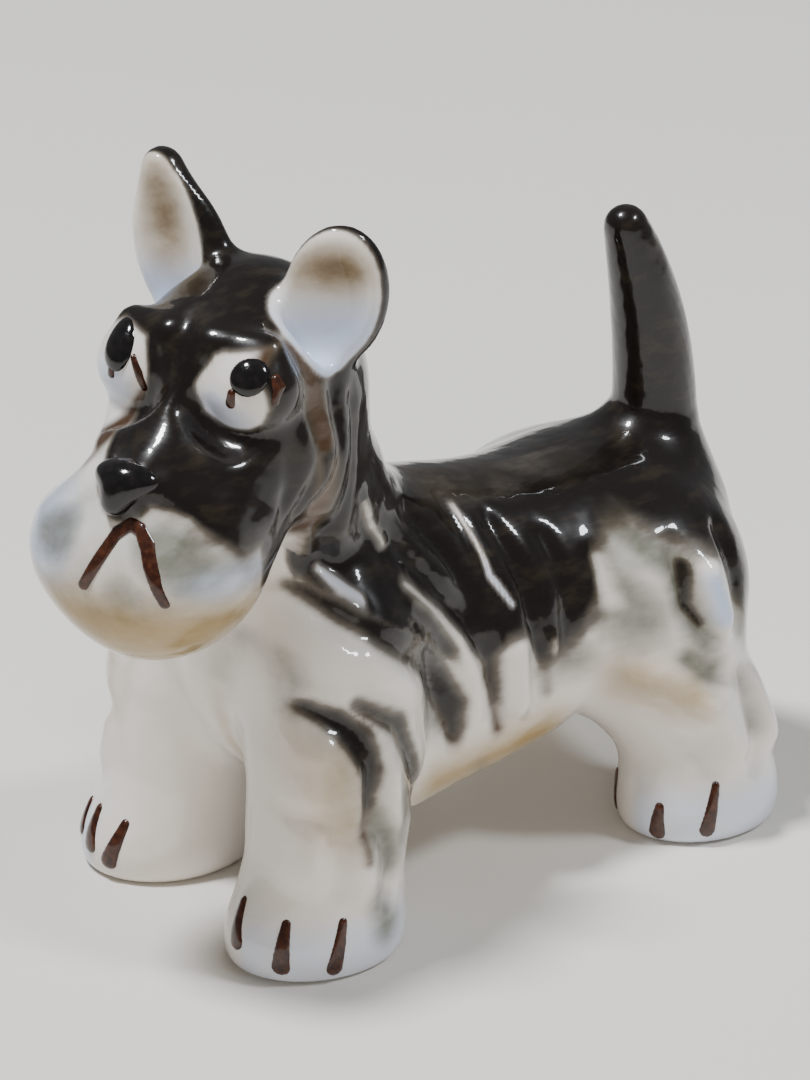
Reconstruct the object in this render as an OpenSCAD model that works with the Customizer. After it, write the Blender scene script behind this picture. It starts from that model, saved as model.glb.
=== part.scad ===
// Ceramic dog figurine: a slip-cast terrier standing on four legs, with its head turned
// to its left. The torso and head are hollow castings. The ears, tail and legs are cast by
// themselves and luted on, and the fine details are strokes of raised enamel.
// The dog faces -Y, its left side is +X, and the origin is on the ground at the centre of
// the bounding box.

/* [Overall size] */
// Length from the front of the muzzle to the back of the rump
figure_length = 49.6; // [41:0.2:60]
// Height from the soles to the tip of the taller ear
figure_height = 44.4; // [38:0.2:56]
// Width over the hind feet
figure_width = 27.8; // [23:0.2:36]

/* [Torso] */
// Height of the back above the ground
back_height = 21.2; // [19:0.2:25.6]
// Height of the belly above the ground
belly_height = 4.4; // [3.4:0.2:5.6]
// Width across the chest
chest_width = 17.2; // [14:0.2:21]
// Front-to-back length of the chest casting
chest_length = 15; // [12:0.2:18]
// Height of the chest from the brisket to the withers
chest_depth = 17.2; // [14:0.2:19]
// How far the brisket stands above the belly line
brisket_rise = 2.6; // [1.6:0.1:3.4]
// Distance of the chest's centre behind the front of the muzzle
chest_setback = 18.3; // [16:0.1:20]
// Width across the ribs
ribs_width = 16.4; // [13:0.2:20]
// Width across the rump
rump_width = 19; // [16:0.2:22.8]
// Front-to-back length of the rump
rump_length = 17.2; // [14:0.2:20]
// Height of the rump from top to bottom
rump_depth = 15.6; // [13:0.2:18]
// How far the rump stands above the back line
rump_rise = 0.4; // [0:0.1:1.5]
// Thickness of the cast wall of torso and head
wall = 2; // [1.4:0.1:2.6]
// Diameter of the firing vent in the belly
vent_diameter = 1.6; // [1:0.1:2.4]

/* [Neck] */
// Diameter of the neck at the luted joint with the head
neck_diameter = 12.6; // [10:0.2:15.2]
// Place of the joint along the neck, as a part of the way from chest to skull
neck_joint_place = 0.45; // [0.35:0.01:0.55]

/* [Head] */
// Angle by which the head is turned to the dog's left
head_turn = 22; // [0:1:35]
// Distance of the skull's centre behind the front of the muzzle
head_setback = 14.3; // [12:0.1:16]
// Sideways shift of the skull towards the dog's left
head_shift = 1.5; // [0:0.1:2]
// Width of the skull
skull_width = 14; // [12:0.2:17]
// Length of the skull
skull_length = 14.4; // [12:0.2:17]
// Height of the skull
skull_height = 14; // [12:0.2:16.8]
// How far the middle of the whiskered muzzle stands in front of the skull's centre
muzzle_reach = 8.4; // [7:0.1:10]
// Width of the whiskered muzzle
muzzle_width = 13; // [11:0.2:15.6]
// Height of the whiskered muzzle from nose bridge to beard
muzzle_height = 13.4; // [11:0.2:16]
// Front-to-back depth of the muzzle
muzzle_depth = 11.2; // [9:0.2:13]
// Width of the bridge of the nose
bridge_width = 8.4; // [7:0.2:10]
// Diameter of each white eye bulge
eye_diameter = 5; // [4:0.1:6]
// Distance between the centres of the eyes
eye_spacing = 7.4; // [6.4:0.1:8.8]

/* [Ears] */
// Width of the left ear
ear_left_width = 7; // [5.6:0.1:8.4]
// Length of the left ear from its root
ear_left_length = 6.4; // [5:0.1:8]
// Width of the right ear
ear_right_width = 6.2; // [5:0.1:7.4]
// Length of the right ear from its root
ear_right_length = 8.6; // [7:0.1:10.4]
// Outward turn of the left ear's hollow
ear_left_turn = 26; // [0:1:40]
// Turn of the right ear's hollow towards the dog's left
ear_right_turn = 10; // [-10:1:20]
// Thickness of an ear
ear_thickness = 2.4; // [1.8:0.1:3]
// Width of the rim round the hollow of an ear
ear_rim = 0.7; // [0.5:0.1:1]

/* [Tail] */
// Height of the tip of the tail above the ground
tail_height = 35.6; // [30:0.2:44]
// Diameter of the tail at its root
tail_root_diameter = 6.6; // [5:0.2:8]
// Diameter of the tail at its tip
tail_tip_diameter = 2.6; // [2:0.1:3.4]
// How far the tail bows out behind its root
tail_bow = 2; // [0.5:0.1:3]
// How far the tip hooks forward again
tail_hook = 1.4; // [0:0.1:3]

/* [Legs] */
// Distance between the centres of the fore feet
fore_stance = 14.6; // [13.2:0.2:18]
// Sideways shift of both fore feet towards the dog's left
fore_shift = 0.9; // [0:0.1:1.2]
// Diameter of a foreleg at the shoulder
foreleg_diameter = 10; // [8:0.2:12]
// Diameter of a foreleg at the pastern
pastern_diameter = 9.2; // [7.4:0.2:11]
// Diameter of the thigh
thigh_diameter = 11.2; // [9:0.2:12.6]
// Diameter of the hock
hock_diameter = 10; // [8.2:0.2:12]
// Width of a foot
foot_width = 9.4; // [8:0.2:11.2]
// Length of a foot
foot_length = 11.4; // [9.4:0.2:13.6]
// Height of a foot
foot_height = 6; // [5:0.2:7]

/* [Enamel] */
// Height by which enamel stands above the glaze
enamel_rise = 0.2; // [0.1:0.05:0.4]
// Width of a painted claw
claw_width = 0.7; // [0.5:0.05:0.9]
// Length of a painted claw
claw_length = 2.6; // [1.6:0.1:2.8]
// Width of the painted mouth line
mouth_width = 0.7; // [0.5:0.05:0.9]
// Width of the mouth across its ends
mouth_spread = 5; // [4:0.2:6]
// Drop of the mouth from its apex to its ends
mouth_drop = 4.2; // [3:0.2:5]
// Width of the painted eye lines
eye_line_width = 0.5; // [0.4:0.05:0.7]
// Diameter of a pupil
pupil_diameter = 2.1; // [1.6:0.1:2.6]
// Outward heading of the gaze from the head's own front
pupil_heading = 14; // [0:1:24]
// Width of the nose
nose_width = 3.8; // [3:0.1:4.4]
// Height of the nose
nose_height = 2.6; // [2:0.1:3.2]

/* [Hidden] */

fine = 30; // facets round the large forms
medium = 22; // facets round the limbs
small = 12; // facets round locks, toes and strokes

front_y = -figure_length / 2;
back_y = figure_length / 2;

// Stations of the torso
chest_p = [0, front_y + chest_setback, belly_height + brisket_rise + chest_depth / 2];
chest_r = [chest_width, chest_length, chest_depth] / 2;
rump_p = [0, back_y - rump_length / 2, back_height + rump_rise - rump_depth / 2];
rump_r = [rump_width, rump_length, rump_depth] / 2;
ribs_p = [0, chest_p.y * 0.55 + rump_p.y * 0.45, (back_height + belly_height) / 2];
ribs_r = [ribs_width / 2, (rump_p.y - chest_p.y) / 3.6, (back_height - belly_height) / 2];

// The head's own frame
ear_right_root_z = skull_height * 0.274;
head_p = [head_shift, front_y + head_setback,
    figure_height - ear_right_length - ear_right_root_z];
skull_r = [skull_width, skull_length, skull_height] / 2;

// The luted joint across the neck
neck_root = [0, chest_p.y + 1.5, chest_p.z + 3.4];
neck_top = [head_shift * 0.8, head_p.y + 1.5, head_p.z - 1];
neck_axis = neck_top - neck_root;
neck_joint = neck_root + neck_axis * neck_joint_place;
neck_lean = [0, acos(neck_axis.z / norm(neck_axis)), atan2(neck_axis.y, neck_axis.x)];

// Places on the head, in its own frame
muzzle_r = [muzzle_width, muzzle_depth, muzzle_height] / 2;
muzzle_p = [-0.9, -muzzle_reach, -6.2];
nose_p = [0, -muzzle_reach - muzzle_depth * 0.4, -1];
eye_r = [eye_diameter / 2, eye_diameter * 0.4, eye_diameter * 0.52];
function eye_p(side) = [side * eye_spacing / 2, -5.8, 2.8];

// Feet
foot_r = [foot_width / 2, foot_length / 2, foot_height * 0.8];
foot_z = foot_height * 0.2; // the widest part is close to the sole
fore_foot_y = front_y + 12.9;
hind_foot_y = back_y - 7.8;
function fore_foot(side) = [fore_shift + side * fore_stance / 2, fore_foot_y, foot_z];
function hind_foot(side) = [side * (figure_width - foot_width) / 2, hind_foot_y, foot_z];
function shoulder(side) = [fore_foot(side).x * 0.84, fore_foot_y + 2.8, chest_p.z - 2.6];
function hip(side) = [side * (rump_width - thigh_diameter) / 2 * 1.6, rump_p.y - 0.6,
    rump_p.z - 2.3];
PUPIL_RISE = 0.8; // the pupil's centre above the eye's centre
pupil_clear = pupil_diameter / 2 + eye_line_width / 2 + 0.15;
// Headings of the claws, outwards from straight ahead
FORE_CLAWS_LEFT = [-4, 32, 70];
FORE_CLAWS_RIGHT = [-17, 5, 26];
HIND_CLAWS = [-32, 22, 60];
LOCK_D = 3.2; // diameter of a lock at its root

// A point on an ellipsoid at a heading from straight ahead (-Y) and a height angle
function on_egg(p, r, heading, rise) = p + [
    r.x * cos(rise) * sin(heading),
    -r.y * cos(rise) * cos(heading),
    r.z * sin(rise)];

module egg(p, r, facets) {
    translate(p) scale(r) sphere(r = 1, $fn = facets);
}

module ball(p, d, facets) {
    translate(p) sphere(d = d, $fn = facets);
}

// A raised lock of the cast coat, from p to q
module lock(p, q, d) {
    hull() {
        ball(p, d, small);
        ball(q, d * 0.45, 8);
    }
}

// ---- torso ----

module spine(inset) {
    shrink = [inset, inset, inset];
    hull() {
        egg(chest_p, chest_r - shrink, fine);
        egg(ribs_p, ribs_r - shrink, fine);
    }
    hull() {
        egg(ribs_p, ribs_r - shrink, fine);
        egg(rump_p, rump_r - shrink, fine);
    }
}

// Part of the neck between the joint and a ball; sign is 1 on the head's side
module neck_stub(sign, p, d, bore) {
    hull() {
        ball(p, d, fine);
        translate(neck_joint) rotate(neck_lean)
            translate([0, 0, sign > 0 ? 0 : -0.4])
            cylinder(d = bore, h = 0.4, $fn = fine);
    }
}

module torso_outside() {
    spine(0);
    neck_stub(-1, neck_root, neck_diameter + 1, neck_diameter);
    // ruff of three locks on the chest
    for (side = [-1, 1]) {
        lock(on_egg(chest_p, chest_r - [1.2, 1.2, 1.2], side * 24, 14),
            on_egg(chest_p, chest_r - [0.9, 0.9, 0.9], side * 15, -24), LOCK_D);
    }
    lock(on_egg(chest_p, chest_r - [1.1, 1.1, 1.1], 0, 2),
        on_egg(chest_p, chest_r - [0.9, 0.9, 0.9], 0, -38), LOCK_D);
}

module torso() {
    color("dimgray")
    difference() {
        torso_outside();
        spine(wall);
        neck_bore();
        translate([0, ribs_p.y, belly_height - 2])
            cylinder(d = vent_diameter, h = wall + 4, $fn = small);
    }
}

// The open way through the luted joint from the torso's hollow to the head's
module neck_bore() {
    hull() {
        ball(neck_root, neck_diameter + 1 - 2 * wall, medium);
        ball(neck_top, neck_diameter - 2 * wall, medium);
    }
}

// ---- head ----

module in_head() {
    translate(head_p) rotate([0, 0, head_turn]) children();
}

// The head without its neck, in its own frame, grown outwards by grow
module head_form(grow) {
    more = [grow, grow, grow];
    hull() {
        egg([0, 1, 0], skull_r + more, fine);
        egg([0, -4, 0.6], [bridge_width * 0.7, 3.4, 5.2] + more, medium);
    }
    // two whiskered lobes and the beard under them
    hull() {
        for (side = [-1, 1]) {
            egg(muzzle_p + [side * muzzle_r.x * 0.3, -muzzle_r.y * 0.08, muzzle_r.z * 0.28],
                [muzzle_r.x * 0.7, muzzle_r.y * 0.92, muzzle_r.z * 0.72] + more, medium);
        }
        egg(muzzle_p - [0, 0, muzzle_r.z * 0.3],
            [muzzle_r.x * 0.8, muzzle_r.y * 0.94, muzzle_r.z * 0.7] + more, medium);
    }
    // bridge of the nose
    hull() {
        egg([0, -9.6, -1.9], [bridge_width * 0.3, 3, 2.2] + more, small + 4);
        egg([0, -4.6, -0.4], [bridge_width * 0.42, 2.6, 3.4] + more, small + 4);
    }
    for (side = [-1, 1]) {
        egg(eye_p(side), eye_r + more, medium);
        // brow ridge over the eye
        hull() {
            egg(eye_p(side) + [-side * 1.1, 1.4, 1.9], [1.4, 1.8, 1.1] + more, small);
            egg(eye_p(side) + [side * 1.3, 1.9, 1.6], [1.4, 1.8, 1.1] + more, small);
            egg(eye_p(side) + [-side, 5, 1.4], [2, 2, 1.4] + more, small);
        }
        // cheek, running back to the jaw
        hull() {
            egg([side * 4.2, -2.6, -3.8], [2.5, 3.4, 3.2] + more, small + 4);
            egg([side * 3.4, 1.4, -3.6], [2.8, 3.4, 3.4] + more, small + 4);
            egg([side * 3.4, 0, 0.4], [2.6, 4.4, 3.4] + more, small + 4);
        }
    }
}

module head_outside() {
    neck_stub(1, neck_top, neck_diameter, neck_diameter);
    in_head() head_form(0);
}

module head() {
    color("dimgray")
    difference() {
        head_outside();
        torso_outside();
        neck_bore();
        in_head() {
            egg([0, 1, 0], skull_r - [wall, wall, wall], medium);
            hull() {
                egg([0, -2, -2.4], [bridge_width / 2 - wall, 3, 1.8], small);
                egg(muzzle_p, muzzle_r * 0.9 - [wall, wall, wall], medium);
            }
        }
    }
}

// ---- ears ----

// An ear as a chain of flat eggs from its root; tip_part is the share of the width left at
// the tip, and the chain shrunk and moved ahead is the hollow
module ear_blade(side, length, width, lean_out, tip_part, shrink, ahead) {
    STEPS = 4;
    function at(t) = [side * lean_out * t, 0.5 * t - ahead, (length - width * tip_part / 2) * t];
    function half(t) = width / 2 * (1 - (1 - tip_part) * pow(t, 1.6)) - shrink;
    for (i = [0 : STEPS - 1]) {
        t = i / STEPS;
        u = (i + 1) / STEPS;
        hull() {
            egg(at(t), [half(t), ear_thickness / 2, half(t)], small + 4);
            egg(at(u), [half(u), ear_thickness / 2, half(u)], small + 4);
        }
    }
}

module ear(root, turn, side, length, width, lean_out, tip_part) {
    difference() {
        in_head() translate(root) rotate([0, 0, turn]) difference() {
            ear_blade(side, length, width, lean_out, tip_part, 0, 0);
            ear_blade(side, length, width, lean_out, tip_part, ear_rim, ear_thickness * 0.55);
        }
        head_outside();
    }
}

module ear_left() {
    color("white")
    ear([4.6, 1.2, skull_height * 0.256], ear_left_turn, 1, ear_left_length, ear_left_width, 1, 0.82);
}

module ear_right() {
    color("white")
    ear([-4.2, 1.4, ear_right_root_z], ear_right_turn, -1, ear_right_length, ear_right_width,
        1.6, 0.4);
}

// ---- tail ----

function tail_point(t) = [0,
    back_y - 5.6 + tail_bow * sin(171 * t) - tail_hook * t * t,
    back_height - 1.6 + (tail_height - tail_tip_diameter / 2 - back_height + 1.6) * t];
function tail_width(t) = tail_tip_diameter
    + (tail_root_diameter - tail_tip_diameter) * pow(1 - t, 1.1);

module tail() {
    STEPS = 8;
    color("dimgray")
    difference() {
        for (i = [0 : STEPS - 1]) {
            hull() {
                ball(tail_point(i / STEPS), tail_width(i / STEPS), medium);
                ball(tail_point((i + 1) / STEPS), tail_width((i + 1) / STEPS), medium);
            }
        }
        torso_outside();
    }
}

// ---- legs ----

module above_ground() {
    intersection() {
        translate([-figure_width, front_y * 2, 0])
            cube([figure_width * 2, figure_length * 2, figure_height]);
        union() children();
    }
}

module leg_outside(top, top_d, low, low_d, foot) {
    above_ground() {
        hull() {
            ball(top, top_d, medium);
            ball(low, low_d, medium);
        }
        hull() {
            ball(low, low_d, medium);
            egg(foot, foot_r - [0.5, 0.5, 0], medium);
        }
        egg(foot, foot_r, fine);
    }
}

module foreleg_outside(side) {
    foot = fore_foot(side);
    leg_outside(shoulder(side), foreleg_diameter,
        [foot.x * 0.97, foot.y + 1, pastern_diameter / 2 - 0.4], pastern_diameter, foot);
    // shoulder blade, carried up the side of the chest
    hull() {
        ball(shoulder(side), foreleg_diameter - 0.6, medium);
        egg([side * (chest_r.x - 2.2), chest_p.y - 1, chest_p.z + 1.6], [2.6, 4.6, 4.8], medium);
    }
    // feathering down the back of the leg
    lock([foot.x + side * 1.6, foot.y + 4.4, shoulder(side).z - 1], [foot.x + side * 1.4, foot.y + 4.8, 2.4],
        LOCK_D);
}

module hindleg_outside(side) {
    foot = hind_foot(side);
    leg_outside(hip(side), thigh_diameter,
        [foot.x * 0.92, foot.y + 1.2, hock_diameter / 2 - 0.4], hock_diameter, foot);
    // thigh, carried up the side of the rump
    hull() {
        ball(hip(side), thigh_diameter - 0.6, medium);
        egg([side * (rump_r.x - 2.4), rump_p.y, rump_p.z + 1.4], [2.8, 5.4, 4.4], medium);
    }
    // feathering down the front of the thigh
    lock([hip(side).x + side * 1.4, hip(side).y - thigh_diameter / 2 + 1.4, hip(side).z],
        [hip(side).x + side * 3, foot.y - 2.4, hock_diameter / 2], LOCK_D);
}

module foreleg(side) {
    difference() {
        foreleg_outside(side);
        torso_outside();
        head_outside(); // clears a head that is set low
    }
}

module hindleg(side) {
    difference() {
        hindleg_outside(side);
        torso_outside();
    }
}

module foreleg_left() {
    color("white") foreleg(1);
}

module foreleg_right() {
    color("white") foreleg(-1);
}

module hindleg_left() {
    color("white") hindleg(1);
}

module hindleg_right() {
    color("white") hindleg(-1);
}

// ---- enamel ----

// A straight stroke with round ends, as a bar that reaches along -Y to be laid over a form
module stroke_bar(from, to, width, reach) {
    hull() {
        for (end = [from, to]) {
            translate([end[0], 0, end[1]]) rotate([90, 0, 0])
                cylinder(d = width, h = reach, $fn = small);
        }
    }
}

// Claws: short strokes down the rim of the foot
module claws(foot, side, headings) {
    for (a = headings) {
        translate([foot.x, foot.y, 0]) rotate([0, 0, side * a])
            stroke_bar([0, claw_width / 2 + 0.2], [0, claw_length - claw_width / 2 + 0.2],
                claw_width, foot_length);
    }
}

module claws_fore(side, headings) {
    foot = fore_foot(side);
    color("saddlebrown")
    difference() {
        intersection() {
            claws(foot, side, headings);
            egg(foot, foot_r + [1, 1, 1] * enamel_rise, fine);
        }
        torso_outside();
        foreleg_outside(side);
    }
}

module claws_hind(side) {
    foot = hind_foot(side);
    color("saddlebrown")
    difference() {
        intersection() {
            claws(foot, side, HIND_CLAWS);
            egg(foot, foot_r + [1, 1, 1] * enamel_rise, fine);
        }
        torso_outside();
        hindleg_outside(side);
    }
}

module claws_fore_left() {
    claws_fore(1, FORE_CLAWS_LEFT);
}

module claws_fore_right() {
    claws_fore(-1, FORE_CLAWS_RIGHT);
}

module claws_hind_left() {
    claws_hind(1);
}

module claws_hind_right() {
    claws_hind(-1);
}

// The nose is a rounded triangle on the front of the bridge
module nose() {
    color("black")
    difference() {
        in_head() hull() {
            for (side = [-1, 1]) {
                ball(nose_p + [side * (nose_width / 2 - 0.8), 0.4, 0], 1.6, small);
            }
            ball(nose_p + [0, -0.2, 1.6 - nose_height], 1.6, small);
            ball(nose_p + [0, 1.6, 0.2], 1.6, small);
        }
        head_outside();
    }
}

module pupil(side) {
    color("black")
    difference() {
        in_head() intersection() {
            head_form(enamel_rise);
            translate(eye_p(side)) rotate([0, 0, side * pupil_heading])
                stroke_bar([side * 0.3, PUPIL_RISE - 0.15], [side * 0.3, PUPIL_RISE + 0.15],
                    pupil_diameter, 2.8);
        }
        head_outside();
    }
}

module pupil_left() {
    pupil(1);
}

module pupil_right() {
    pupil(-1);
}

// The lid line outside the pupil and the tear stroke inside it
module eye_line(side) {
    color("saddlebrown")
    difference() {
        in_head() intersection() {
            head_form(enamel_rise);
            translate(eye_p(side) + [side * 0.3, 0, PUPIL_RISE]) rotate([0, 0, side * pupil_heading]) {
                stroke_bar([side * pupil_clear * 0.7, pupil_clear * 0.8],
                    [side * (pupil_clear + 0.9), -0.2], eye_line_width, 2.8);
                stroke_bar([-side * pupil_clear * 0.6, -pupil_clear * 0.95],
                    [-side * pupil_clear * 0.65, -pupil_clear * 0.95 - 0.9], eye_line_width, 2.8);
            }
        }
        head_outside();
    }
}

module eye_line_left() {
    eye_line(1);
}

module eye_line_right() {
    eye_line(-1);
}

// The mouth is an upside-down V under the nose
module mouth_line() {
    color("saddlebrown")
    difference() {
        in_head() intersection() {
            head_form(enamel_rise);
            translate([nose_p.x, muzzle_p.y, nose_p.z + 0.8 - nose_height - mouth_width / 2 - 0.3])
                for (side = [-1, 1]) {
                    stroke_bar([0.4, 0], [side * mouth_spread / 2, -mouth_drop], mouth_width, 6.4);
                }
        }
        head_outside();
    }
}

torso();
head();
ear_left();
ear_right();
tail();
foreleg_left();
foreleg_right();
hindleg_left();
hindleg_right();
nose();
pupil_left();
pupil_right();
eye_line_left();
eye_line_right();
mouth_line();
claws_fore_left();
claws_fore_right();
claws_hind_left();
claws_hind_right();
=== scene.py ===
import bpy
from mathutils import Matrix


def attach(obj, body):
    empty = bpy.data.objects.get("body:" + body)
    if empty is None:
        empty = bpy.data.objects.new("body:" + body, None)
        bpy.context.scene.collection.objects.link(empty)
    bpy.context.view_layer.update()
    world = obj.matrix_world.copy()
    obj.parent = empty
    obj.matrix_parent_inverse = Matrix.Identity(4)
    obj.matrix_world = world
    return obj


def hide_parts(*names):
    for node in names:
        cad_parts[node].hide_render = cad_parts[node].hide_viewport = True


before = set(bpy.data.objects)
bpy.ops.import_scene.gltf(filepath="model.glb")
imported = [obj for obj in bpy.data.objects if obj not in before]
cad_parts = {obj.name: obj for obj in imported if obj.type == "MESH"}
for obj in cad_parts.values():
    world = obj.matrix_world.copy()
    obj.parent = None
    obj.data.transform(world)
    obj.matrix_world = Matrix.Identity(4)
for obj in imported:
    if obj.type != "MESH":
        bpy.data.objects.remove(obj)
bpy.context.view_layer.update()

import math
import bpy
import numpy as np

# ---------------------------------------------------------------------------------------
# Stand for the figure: a plain pale table top, soft studio light, and the camera at the
# dog's left front, a little above it.

TABLE_COLOUR = (0.74, 0.71, 0.66, 1)
CAMERA_ROUND, CAMERA_UP, CAMERA_AWAY = 52.0, 24.5, 0.328     # degrees, degrees, metres
AIM = (0.0, 0.00183, 0.01865)
LENS = 190.0                                                 # on a 36 mm long side

camera = bpy.data.objects.new("camera", bpy.data.cameras.new("camera"))
bpy.context.collection.objects.link(camera)
camera.data.lens = LENS
camera.data.sensor_fit = "AUTO"
camera.data.sensor_width = 36.0
camera.data.clip_start = 0.01
around, above = math.radians(CAMERA_ROUND), math.radians(CAMERA_UP)
camera.location = (AIM[0] + CAMERA_AWAY * math.sin(around) * math.cos(above),
                   AIM[1] - CAMERA_AWAY * math.cos(around) * math.cos(above),
                   AIM[2] + CAMERA_AWAY * math.sin(above))
camera.rotation_euler = (math.radians(90 - CAMERA_UP), 0, around)
bpy.context.scene.camera = camera

table_mesh = bpy.data.meshes.new("table_top")
table_mesh.from_pydata([(-1.5, -1.5, 0), (1.5, -1.5, 0), (1.5, 1.5, 0), (-1.5, 1.5, 0)], [],
                       [(0, 1, 2, 3)])
table = bpy.data.objects.new("table_top", table_mesh)
bpy.context.collection.objects.link(table)
table_paint = bpy.data.materials.new("table_top")
table_paint.use_nodes = True
table_shader = table_paint.node_tree.nodes["Principled BSDF"]
table_shader.inputs["Base Color"].default_value = TABLE_COLOUR
table_shader.inputs["Roughness"].default_value = 0.8
table_mesh.materials.append(table_paint)


def softbox(name, place, aim, size, power, colour):
    """A round studio light at place, turned to aim."""
    lamp = bpy.data.lights.new(name, "AREA")
    lamp.shape = "DISK"
    lamp.size = size
    lamp.energy = power
    lamp.color = colour
    light = bpy.data.objects.new(name, lamp)
    bpy.context.collection.objects.link(light)
    light.location = place
    way = [a - b for a, b in zip(aim, place)]
    flat = math.hypot(way[0], way[1])
    light.rotation_euler = (math.atan2(flat, -way[2]), 0, math.atan2(-way[0], way[1]))
    return light


softbox("window", (-0.10, -0.14, 0.50), (0, 0, 0.02), 0.09, 3.7, (0.95, 0.97, 1.0))
softbox("sky", (0.26, 0.26, 0.44), (0, 0, 0.02), 0.10, 1.6, (0.9, 0.95, 1.0))
fill = softbox("fill", (0.50, -0.30, 0.10), (0, 0, 0.02), 0.30, 1.3, (1.0, 0.88, 0.74))
fill.visible_glossy = False          # it lifts the shadows and makes no highlight of its own
world = bpy.data.worlds.new("room")
world.use_nodes = True
world.node_tree.nodes["Background"].inputs[0].default_value = (0.80, 0.82, 0.86, 1)
world.node_tree.nodes["Background"].inputs[1].default_value = 0.20
bpy.context.scene.world = world

# ---------------------------------------------------------------------------------------
# Torso: the big slip casting of chest, ribs, loin and rump with the lower neck. The clay is
# worked as one volume, in millimetres, so that the pieces luted to it flow into each other.

PITCH = 0.22                         # spacing of the clay samples
CLAY_LOW = np.array([-15.0, -26.0, -1.5])
CLAY_HIGH = np.array([15.0, 26.5, 46.5])
count = np.ceil((CLAY_HIGH - CLAY_LOW) / PITCH).astype(int) + 1
clay = np.full(count, 6.0, np.float32)
forms = {}                           # piece -> its forms, to tell the pieces apart later


def egg(centre, radii, turn=0.0, tip=0.0):
    """An ellipsoid; turn is round the upright axis, tip leans its top over to -X, degrees."""
    c, r = np.array(centre, float), np.array(radii, float)
    a, b = math.radians(turn), math.radians(tip)
    spin = np.array([[math.cos(a), -math.sin(a), 0], [math.sin(a), math.cos(a), 0], [0, 0, 1]])
    lean = np.array([[math.cos(b), 0, -math.sin(b)], [0, 1, 0], [math.sin(b), 0, math.cos(b)]])
    frame_of = spin @ lean

    def distance(p):
        q = (p - c) @ frame_of
        k0 = np.sqrt(((q / r) ** 2).sum(-1))
        k1 = np.sqrt(((q / (r * r)) ** 2).sum(-1))
        return k0 * (k0 - 1) / np.maximum(k1, 1e-6)
    distance.box = (c - r.max(), c + r.max())
    return distance


def limb(a, ra, b, rb):
    """A round bar from a to b that changes its radius from ra to rb."""
    a, b = np.array(a, float), np.array(b, float)
    span = b - a

    def distance(p):
        t = np.clip(((p - a) @ span) / (span @ span), 0, 1)
        return np.linalg.norm(p - a - t[..., None] * span, axis=-1) - (ra + t * (rb - ra))
    distance.box = (np.minimum(a - ra, b - rb), np.maximum(a + ra, b + rb))
    return distance


def part_of_clay(form, margin):
    lo = np.floor((form.box[0] - margin - CLAY_LOW) / PITCH).astype(int)
    hi = np.ceil((form.box[1] + margin - CLAY_LOW) / PITCH).astype(int) + 1
    lo, hi = np.clip(lo, 0, count), np.clip(hi, 0, count)
    region = tuple(slice(i, j) for i, j in zip(lo, hi))
    axes = [CLAY_LOW[k] + PITCH * np.arange(lo[k], hi[k]) for k in range(3)]
    return region, np.stack(np.meshgrid(*axes, indexing="ij"), -1)


def press_on(piece, form, blend):
    """Adds a form to the clay with a fillet of about blend."""
    forms.setdefault(piece, []).append(form)
    region, p = part_of_clay(form, blend + 1.5)
    old, new = clay[region], form(p)
    h = np.clip(0.5 + 0.5 * (old - new) / blend, 0, 1)
    clay[region] = old + (new - old) * h - blend * h * (1 - h)


def carve(form, blend):
    """Cuts a form out of the clay, with its edges rounded by about blend."""
    region, p = part_of_clay(form, blend + 1.5)
    old, new = clay[region], -form(p)
    h = np.clip(0.5 - 0.5 * (old - new) / blend, 0, 1)
    clay[region] = old + (new - old) * h + blend * h * (1 - h)


NECK_LOW, NECK_JOINT, NECK_TOP = (0, -5.4, 18.0), (0.5, -7.4, 24.6), (1.2, -8.9, 31.0)
press_on("torso", egg((0, -5.9, 15.2), (8.3, 7.3, 8.6)), 0.1)
press_on("torso", egg((0, 2.6, 12.8), (8.0, 9.2, 8.4)), 3.0)
press_on("torso", egg((0, 1.2, 16.8), (5.4, 7.6, 6.2)), 3.0)
press_on("torso", egg((0, 9.7, 13.8), (7.9, 7.8, 7.7)), 3.0)
press_on("torso", egg((0, 16.4, 14.0), (9.2, 7.6, 7.6)), 3.0)
press_on("torso", limb(NECK_LOW, 7.2, NECK_JOINT, 5.8), 3.0)
for side in (-1, 1):
    press_on("torso", limb((side * 5.2, -3.0, 8.2), 3.0, (side * 5.0, 7.0, 9.6), 2.6), 2.4)

# ---------------------------------------------------------------------------------------
# Forelegs: solid cast columns, deeper than they are wide, that widen into bell-shaped feet.

for name, x, y in (("foreleg_left", 8.2, -11.0), ("foreleg_right", -6.5, -10.5)):
    side = math.copysign(1, x)
    press_on(name, egg((x * 0.84, y + 2.6, 14.6), (4.6, 5.0, 6.6)), 2.4)
    press_on(name, limb((x * 0.92, y + 1.5, 11.0), 4.6, (x * 0.97, y + 0.7, 5.0), 4.4), 1.6)
    press_on(name, egg((x, y, 1.4), (4.6, 5.5, 4.4)), 1.6)
    press_on(name, limb((x * 0.95, y + 4.6, 11.0), 2.6, (x, y + 2.8, 4.6), 2.2), 1.6)

# ---------------------------------------------------------------------------------------
# Hind legs: thigh, hock and foot in one solid casting, broad from the side.

for name, side in (("hindleg_left", 1), ("hindleg_right", -1)):
    press_on(name, egg((side * 6.0, 15.4, 12.2), (4.2, 6.2, 6.6)), 2.4)
    press_on(name, limb((side * 6.8, 15.6, 9.4), 4.7, (side * 8.3, 17.0, 5.0), 4.4), 1.8)
    press_on(name, egg((side * 8.9, 16.8, 1.4), (4.4, 5.1, 4.2)), 1.6)

# ---------------------------------------------------------------------------------------
# Tail: a rolled, tapering tail that stands up and hooks a little forward.

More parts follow.
